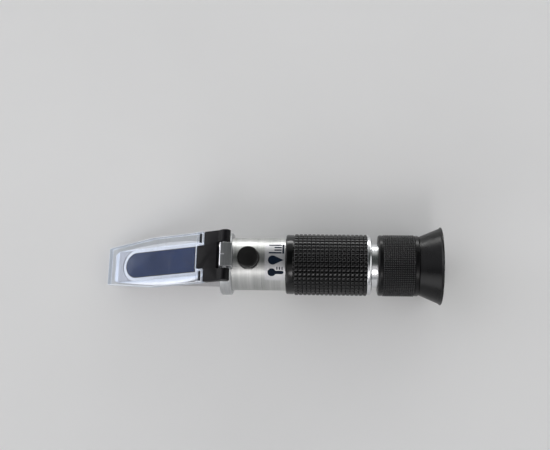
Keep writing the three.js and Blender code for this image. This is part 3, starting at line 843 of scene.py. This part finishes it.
def arm_outline(start, turns=14):
    """Side view of a bracket arm, in slope coordinates: a bar that ends round the pin."""
    pin = ON_SLOPE.inverted() @ Vector((PIN_X, 0, PIN_Z))
    knuckle = 2.4
    rise, sweep = math.radians(62), math.pi + math.radians(65)
    low, high = -PLATE_T + 0.01, -0.01
    arm = [(start, low, 0), (start, high, 0), (pin.x - 2.9, high, 1.6)]
    for k in range(turns + 1):
        t = math.pi - rise - k * sweep / turns
        arm.append((pin.x + knuckle * math.cos(t), pin.z + knuckle * math.sin(t), 0))
    arm.append((pin.x - 2.4, low, 0.6))
    return fillets(arm, True, 6)


def make_tabs():
    """Tabs of the bracket that hold the plate by the slots in its ears."""
    play, end_play = 0.1, 0.15
    inset = SLOT_INSET + end_play
    for side, name in ((1, "back"), (-1, "front")):
        y0, y1 = sorted((side * (EAR_Y0 + inset), side * (EAR_Y1 - inset)))
        tab = box_solid(SLOT_S0 + play, SLOT_S1 - play, y0, y1, -0.88, 0.1, 0.12)
        tab.data.transform(ON_SLOPE_M)
        finished(tab, f"bracket_tab_{name}", "bracket", "cover", slot="black_plastic", sharp=30)


def make_hinge_pin():
    end, radius = PIN.y1, 1.0
    verts, faces = revolve_mesh(fillets([
        (-end, 0, 0), (-end, radius, 0.3), (end, radius, 0.3), (end, 0, 0)], False, 4), 48)
    build("hinge_pin_turned", verts, faces, "steel", "cover", ["hinge_pin"], "steel",
          matrix=ON_PIN)


# ---- tube, cap, label
def upright(x):
    """Stands a round piece that was turned about X on the tube, at x."""
    return Matrix.Translation((x, 0, 0)) @ Matrix.Rotation(-math.pi / 2, 4, "Y")


def upright_rod(z0, z1, radius):
    """A cutter under the cap."""
    rod = revolve_mesh([(z0, 0), (z0, radius), (z1, radius), (z1, 0)], 96)
    return solid(*rod, upright(CAP_X))


def make_tube():
    x0, x1 = COLLAR_X1 - 2.5, TUBE.x1
    inner = TUBE_R - 1.5
    rows = [(x0, inner), (x0, TUBE_R)]
    rows += [(x, TUBE_R) for x in np.linspace(x0 + 1, GRIP.x0 + 2, 16)]
    rows += [(x1, TUBE_R), (x1, inner)]
    tube = solid(*revolve_mesh(rows, 256))
    combine(tube, upright_rod(SPOT_Z, 20, SPOT_R), "DIFFERENCE")
    combine(tube, upright_rod(2, 20, BUSH_R + 0.1), "DIFFERENCE")
    finished(tube, "main_tube_turned", "barrel", "body", ["main_tube"], "satin_aluminium",
             sharp=30)


def make_calibration():
    """The slotted screw in its bush, and the plug over them."""
    revolve("calibration_bush_turned", [
        (6, 1.6, 0.1), (6, BUSH_R, 0.2), (SPOT_Z, BUSH_R, 0.2), (SPOT_Z, 2.9, 0.2),
        (8.8, 2.9, 0), (8.8, 1.6, 0.15),
    ], "brass", "body", ["calibration_bush"], "brass", 96, upright(CAP_X))

    screw = solid(*revolve_mesh(fillets([
        (5.3, 0, 0), (5.3, 1.0, 0), (5.8, SCREW_R, 0), (SCREW_TOP, SCREW_R, 0.2),
        (SCREW_TOP, 0, 0)], False), 64), upright(CAP_X))
    slot = box_solid(CAP_X - 3, CAP_X + 3, -0.25, 0.25, SCREW_TOP - 0.8, SCREW_TOP + 0.6)
    combine(screw, slot, "DIFFERENCE")
    finished(screw, "calibration_screw_slotted", "steel", "screw", ["calibration_screw"],
             "steel", sharp=30)

    low, under, top = CAP.z0, SPOT_Z + 0.1, CAP.z1
    revolve("calibration_cap_moulded", [
        (low, 0, 0), (low, 2.2, 0), (low + 0.5, 2.75, 0.2), (10.6, 2.6, 0.2),
        (under, 2.7, 0.1), (under, 4.95, 0.2), (top - 0.75, 4.98, 0.25),
        (top - 0.3, 4.55, 0.5), (top - 0.15, 3.4, 1.2), (top - 0.02, 1.6, 1.0), (top, 0, 0),
    ], "cap", "cap", ["calibration_cap"], "rubber", 128, upright(CAP_X))


def on_tube(x, across, radius):
    """A point on the tube: across runs around it in millimetres, + towards the back."""
    a = across / TUBE_R
    return (x, radius * math.sin(a), radius * math.cos(a))


def wrapped(name, outline, low, high, mat, replaces=(), step=0.35):
    """A flat outline of (x, across) points laid around the tube as a thin solid."""
    mesh = bpy.data.meshes.new(name)
    bm = bmesh.new()
    loop = [bm.verts.new((x, a, 0)) for x, a in outline]
    bm.faces.new(loop)
    lows = min(a for _, a in outline)
    highs = max(a for _, a in outline)
    for k in range(1, max(2, int((highs - lows) / step))):
        bmesh.ops.bisect_plane(bm, geom=bm.verts[:] + bm.edges[:] + bm.faces[:],
                               plane_co=(0, lows + k * step, 0), plane_no=(0, 1, 0))
    top = bmesh.ops.extrude_face_region(bm, geom=bm.faces[:])
    raised = [v for v in top["geom"] if isinstance(v, bmesh.types.BMVert)]
    for v in bm.verts:
        v.co = Vector(on_tube(v.co.x, v.co.y, low))
    for v in raised:
        x, y, z = v.co
        size = math.hypot(y, z)
        v.co = Vector((x, y * high / size, z * high / size))
    bm.to_mesh(mesh)
    bm.free()
    mesh.transform(Matrix.Scale(MM, 4))
    return dress(new_object(name, mesh), mat, "body", replaces, "label", 40)


def disc(x, across, radius, count=40):
    return [(x + radius * math.cos(t), across + radius * math.sin(t))
            for t in (2 * math.pi * k / count for k in range(count))]


def bar(x0, x1, a0, a1, corner=0.12, steps=3):
    return fillets([(x0, a0, corner), (x1, a0, corner), (x1, a1, corner), (x0, a1, corner)],
                   True, steps)


def make_label():
    front, back, corner = -10.8, 7.7, 0.6
    wrapped("barrel_label_film", bar(LABEL.x0, LABEL.x1, front, back, corner, 5),
            TUBE_R + 0.005, TUBE_R + FILM, "label", ["barrel_label"])
    marks = thermometer(-6.7) + drop(-0.9) + graduated_bar(2.6)
    for count, outline in enumerate(marks, 1):
        wrapped(f"label_mark_{count:02d}", outline, TUBE_R + FILM - 0.01, TUBE_R + FILM + 0.02,
                "ink", step=0.3)


def thermometer(middle):
    """Generic mark: its bulb lies towards the prism, with three graduations beside the stem."""
    outlines = [disc(1.1, middle, 1.9), bar(2.4, 6.6, middle - 0.8, middle + 0.8, 0.75)]
    for k in range(3):
        x = 3.3 + 1.2 * k
        outlines.append(bar(x, x + 0.5, middle + 1.25, middle + 2.7, 0.15))
    return outlines


def drop(middle, centre=1.5, radius=2.15, point=6.6, steps=32):
    """Generic mark: a drop with its point towards the eyecup."""
    half = math.acos(radius / (point - centre))
    outline = []
    for k in range(steps + 1):
        t = half + (2 * math.pi - 2 * half) * k / steps
        outline.append((centre + radius * math.cos(t), middle + radius * math.sin(t)))
    return [outline + [(point, middle)]]


def graduated_bar(first, pitch=1.45):
    """Generic mark: four lines, long ones first and last, that end at a bar."""
    outlines = []
    for k in range(4):
        a = first + pitch * k
        outlines.append(bar(-0.4 if k % 3 == 0 else 2.2, 5.6, a - 0.36, a + 0.36, 0.15))
    outlines.append(bar(5.9, 6.8, 2.2, 7.35, 0.2))
    return outlines


# ---- grip
def pillow(phase, fullness=2.4, dome=0.0):
    """Height across a row of cushion-shaped knobs: 1 on a crown, 0 in the groove."""
    off = np.abs((phase % 1.0) - 0.5) * 2
    return (1 - off ** fullness) * (1 - dome * off ** 2)


def make_grip():
    """The rubber sleeve: a plain collar, then rows of square knobs."""
    columns, rows_around, fine = 17, 40, 11        # fine: vertices across a knob
    depth, fullness, dome = 0.65, 5, 0.08
    x0, x1 = GRIP.x0, GRIP.x1
    bore, collar_r, floor = 12.55, 14.05, GRIP.radius - depth
    field0, field1 = x0 + 3.9, x1 + 0.4            # the last row of knobs is cut short
    around = rows_around * fine
    across = pillow(np.arange(around) / fine, fullness, dome)
    rows = fillets([(x0, bore, 0), (x0, collar_r, 1.1), (x0 + 3.45, collar_r, 0.3),
                    (field0 - 0.2, floor + 0.02, 0.15)], False)
    xs = np.linspace(field0, field1, columns * fine + 1)
    along = pillow((xs - field0) / (field1 - field0) * columns, fullness, dome)
    for x, h in zip(xs, along):
        if x < x1 - 0.1:
            rows.append((x, floor + depth * h * across))
    rows += [(x1, 13.2), (x1, bore)]
    verts, faces = revolve_mesh(rows, around)
    build("grip_sleeve_knobbed", verts, faces, "grip", "body", ["grip_sleeve"], "rubber", 50)


def make_end_ring():
    x0, x1, r, bore = END_RING.x0, END_RING.x1, END_RING.radius, NECK.radius + 0.1
    revolve("grip_end_ring_chrome", [
        (x0, bore, 0.1), (x0, r, 0.25), (x1, r, 1.5), (x1, bore, 0.15),
    ], "chrome", "body", ["grip_end_ring"], "chrome")


# ---- eyepiece
def make_neck():
    """The chrome tube that the focusing ring runs on, and the O-ring in its groove."""
    x0, x1, r, bore = NECK.x0, NECK.x1, NECK.radius, 8.6
    bed, side = 9.75, 0.1                # floor of the groove, play beside the O-ring
    groove0, groove1 = O_RING.x0 - side, O_RING.x1 + side
    revolve("eyepiece_neck_chrome", [
        (x0, bore, 0), (x0, r, 0.2), (groove0, r, 0.05), (groove0, bed, 0),
        (groove1, bed, 0), (groove1, r, 0.05), (x1, r, 0.3), (x1, bore, 0),
    ], "chrome", "body", ["eyepiece_neck"], "chrome")
    inner, outer, soft = bed + 0.05, O_RING.radius, 0.38
    revolve("focus_o_ring_moulded", [
        (O_RING.x0, inner, soft), (O_RING.x0, outer, soft), (O_RING.x1, outer, soft),
        (O_RING.x1, inner, soft),
    ], "seal", "body", ["focus_o_ring"], "rubber", 96)


def make_focus_ring():
    """A ring with a fine square knurl, stepped inside for the cell and the eyecup."""
    x0, x1, r = FOCUS.x0, FOCUS.x1, FOCUS.radius
    lines, fine_a, grooves, fine_x = 88, 5, 15, 6
    depth, fullness = 0.45, 3
    knurl0, knurl1 = x0 + 2.3, x1 - 2.0
    around = lines * fine_a
    across = pillow(np.arange(around) / fine_a, fullness)
    rows = fillets([(x0, 10.8, 0), (x0, r - 0.2, 0.95), (x0 + 2.0, r - 0.2, 0.15),
                    (x0 + 2.1, r - 0.5, 0.1)], False)
    xs = np.linspace(knurl0, knurl1, grooves * fine_x + 1)
    along = pillow((xs - knurl0) / (knurl1 - knurl0) * grooves, fullness)
    rows += [(x, r - depth + depth * h * across) for x, h in zip(xs, along)]
    rows += fillets([(knurl1 + 0.05, r - 0.5, 0), (knurl1 + 0.3, r - 0.28, 0.1),
                     (x1 - 0.25, r - 0.28, 0.15), (x1, r - 0.6, 0.1), (x1, 12.4, 0.1),
                     (x1 - 2.4, 12.4, 0)], False)
    rows += [(x1 - 2.4, 11.6), (x0 + 12.6, 11.6), (x0 + 12.6, 12), (x0 + 11, 12),
             (x0 + 11, 10.8)]
    verts, faces = revolve_mesh(rows, around)
    ring = build("focus_ring_knurled", verts, faces, ["anodised", "anodised_crest"], "ring",
                 ["focus_ring"], "black_anodised", 50)
    # Knurl crests take the lighter crest copy: partly rubbed wear, partly painted highlight against the
    # darker grooves.
    for face in ring.data.polygons:
        x, y, z = (c / MM for c in face.center)
        if knurl0 < x < knurl1 and math.hypot(y, z) > r - 0.17:
            face.material_index = 1


def make_eyecup():
    x1, rim = CUP.x1, CUP.radius
    root = FOCUS.x1 + 0.1
    revolve("eyecup_flared", [
        (CUP.x0, 11.5, 0), (CUP.x0, 12.3, 0.1), (root, 12.3, 0), (root, 13.75, 0.25),
        (root + 0.9, 14.05, 0.4), (x1 - 1.1, rim - 0.62, 1.2), (x1 - 0.55, rim, 0.3),
        (x1, rim - 0.05, 0.28), (x1, rim - 0.85, 0.35), (x1 - 0.8, rim - 1.5, 1.5),
        (70.8, 12.9, 1.5), (69.6, 11.9, 0.4), (68.4, 11.5, 0),
    ], "cup", "ring", ["eyecup"], "rubber", 256)


def lens_rows(x0, x1, radius, rise0, rise1, steps=14):
    """A lens's outline from its first pole to its second."""

    def cap(x, rise):
        sphere = (radius ** 2 + rise ** 2) / (2 * abs(rise))
        half = math.asin(radius / sphere)
        sign = math.copysign(1, rise)
        centre = x + rise - sign * sphere
        return [(centre + sign * sphere * math.cos(half * k / steps),
                 sphere * math.sin(half * k / steps)) for k in range(steps + 1)]

    return cap(x0, -rise0) + cap(x1, rise1)[::-1]


def make_lens(node, body, x0, x1, radius, rise0, rise1):
    """A lens named after its node, from the places of its rim and the rise of its faces."""
    verts, faces = revolve_mesh(lens_rows(x0, x1, radius, rise0, rise1), 96)
    build(f"{node}_polished", verts, faces, "lens", body, [node], "lens_glass", 40)


def make_black_ring(node, outline):
    """A blackened ring of the eyepiece cell, named after its node."""
    revolve(f"{node}_turned", outline, "inner_black", "cell", [node], "black_anodised", 128)


def make_optics():
    lens_r, seat_r = 7.3, 7.4            # eyepiece lenses and the cell's seat for them
    cell = Box("eyepiece_cell")
    make_lens("eye_lens", "cell", 62.6, 64.4, lens_r, 1.4, 1.0)
    make_lens("field_lens", "cell", 53.7, 55.3, lens_r, 0.35, 1.3)
    make_lens("objective_lens", "objective", 1.3, 3.2, 6.2, 0.7, 0.9)
    make_black_ring("lens_retainer", [
        (64.8, 6.3, 0.1), (64.8, lens_r, 0), (67.3, lens_r, 0), (67.3, 11.3, 0.1),
        (68.2, 11.3, 0.25), (68.2, 7.9, 0.5), (67.2, 7.0, 0.2), (66.2, 6.5, 0.2)])
    make_black_ring("lens_spacer", [
        (55.9, 6.5, 0.1), (55.9, lens_r, 0.1), (62.2, lens_r, 0.1), (62.2, 6.5, 0.1)])
    make_black_ring("eyepiece_cell", [
        (cell.x0, 6.4, 0.1), (cell.x0, 8.3, 0.2), (61.5, 8.3, 0), (61.5, 11.8, 0.1),
        (62.9, 11.8, 0.1), (62.9, 11.4, 0), (cell.x1, 11.4, 0.1), (cell.x1, seat_r, 0.1),
        (53.2, seat_r, 0), (53.2, 6.4, 0)])
    glass, glass_r = Box("reticle"), 7.2
    verts, faces = revolve_mesh(fillets([
        (glass.x0, 0, 0), (glass.x0, glass_r, 0.2), (glass.x1, glass_r, 0.2),
        (glass.x1, 0, 0)], False), 96)
    build("reticle_glass", verts, faces, "lens", "body", ["reticle"], "lens_glass")


def finish_hidden_nodes():
    """Sealed inner nodes keep their CAD shape and take a worked material."""
    inside = {
        "steel": ["strip_screw"],
        "brass": ["objective_retainer", "bimetal_strip"],
        "inner_black": ["objective_carrier", "aperture_stop", "reticle_holder",
                        "reticle_retainer"],
        "seal": ["head_seal"],
    }
    for mat, names in inside.items():
        for name in names:
            node = frame["nodes"][name]
            node.data.materials.clear()
            node.data.materials.append(MAT[mat])


# ---- floor, light, camera
def make_floor():
    """The instrument lies on the rim of its eyecup and the lower edge of its tip."""
    tilt = math.atan2(CUP.radius - HEAD_HALF_H, CUP.x1 - SEAT.x0)
    size, gap = 3000.0, 0.1
    corners = [(-size, -size, 0), (size, -size, 0), (size, size, 0), (-size, size, 0)]
    mesh = bpy.data.meshes.new("floor")
    mesh.from_pydata(corners, [], [(0, 1, 2, 3)])
    place = Matrix.Translation((CUP.x1, 0, -CUP.radius - gap)) @ Matrix.Rotation(tilt, 4, "Y")
    mesh.transform(Matrix.Scale(MM, 4) @ place)
    floor = new_object("floor", mesh)
    floor.data.materials.append(MAT["floor"])


# Soft panels of the studio tent: direction, angle of full light, angle of none, colour,
# and for a long strip the direction square to it and the sine of its half width.
PANELS = [
    ((0, 0, 1), 92, 60, (0.27, 0.277, 0.288), None),
    ((0, 1, 0.15), 10, 48, (0.55, 0.55, 0.54), None),
    ((-0.86, 0.25, 0.45), 24, 50, (0.78, 0.77, 0.8), None),
    ((-0.95, 0.27, 0.12), 9, 23, (2.5, 2.5, 2.52), None),
    ((-0.56, -0.8, 0.18), 12, 32, (2.3, 2.3, 2.32), None),
    ((0.04, -0.7, 0.71), 20, 38, (0.55, 0.535, 0.54), None),
    ((0.04, -0.745, 0.667), 4, 11, (5.2, 5.1, 5.1), None),
    ((0.85, -0.1, 0.5), 20, 36, (1.3, 1.3, 1.3), None),
    ((0.05, 1, 0.1), 30, 60, (7.0, 7.0, 6.9), ((0, 0, 1), 0.17)),
]
CEILING = (0.05, 0.056, 0.054)


def make_light():
    """A studio tent: a dim ceiling, with soft panels and bright strips around it."""
    world = bpy.data.worlds.new("studio")
    bpy.context.scene.world = world
    world.use_nodes = True
    sky = Nodes(world.node_tree)
    toward = sky.node("ShaderNodeTexCoord").outputs["Generated"]
    total = CEILING
    for direction, core, wide, colour, strip in PANELS:
        near = sky.vector("DOT_PRODUCT", toward, Vector(direction).normalized())
        ends = (math.cos(math.radians(angle)) for angle in (wide, core))
        lit = sky.vector("SCALE", colour, sky.ramp(near, *ends, shape="SMOOTHSTEP"))
        if strip is not None:
            square, half = strip
            off = sky.math("ABSOLUTE", sky.vector("DOT_PRODUCT", toward, square))
            edge = sky.ramp(off, 1.4 * half, 0.8 * half, shape="SMOOTHSTEP")
            lit = sky.vector("SCALE", lit, edge)
        total = sky.vector("ADD", total, lit)
    sky.fill(sky.tree.nodes["Background"], Color=total)


CAMERA_AT = (28.26, -106.63, 442.82)
CAMERA_ELEVATION, CAMERA_AZIMUTH, CAMERA_ROLL = (math.radians(v) for v in (73.77, 12.0, -10.98))
CAMERA_LENS = 62.73                  # focal length on a 36 mm wide sensor


def make_camera():
    """The camera looks almost straight down on the instrument, turned a little."""
    data = bpy.data.cameras.new("camera")
    data.sensor_width = 36
    data.lens = CAMERA_LENS
    data.clip_start, data.clip_end = 0.01, 20
    camera = new_object("camera", data)
    camera.matrix_world = (
        Matrix.Translation(Vector(CAMERA_AT) * MM) @ Matrix.Rotation(CAMERA_AZIMUTH, 4, "Z")
        @ Matrix.Rotation(math.pi / 2 - CAMERA_ELEVATION, 4, "X")
        @ Matrix.Rotation(CAMERA_ROLL, 4, "Z"))
    bpy.context.scene.camera = camera
    bpy.context.scene.view_settings.view_transform = "Standard"


make_camera()
make_wedge()
make_collar()
make_hinge_block()
make_prism()
make_plate()
make_bracket()
make_tabs()
make_hinge_pin()
make_tube()
make_calibration()
make_label()
make_grip()
make_end_ring()
make_neck()
make_focus_ring()
make_eyecup()
make_optics()
finish_hidden_nodes()
make_floor()
make_light()
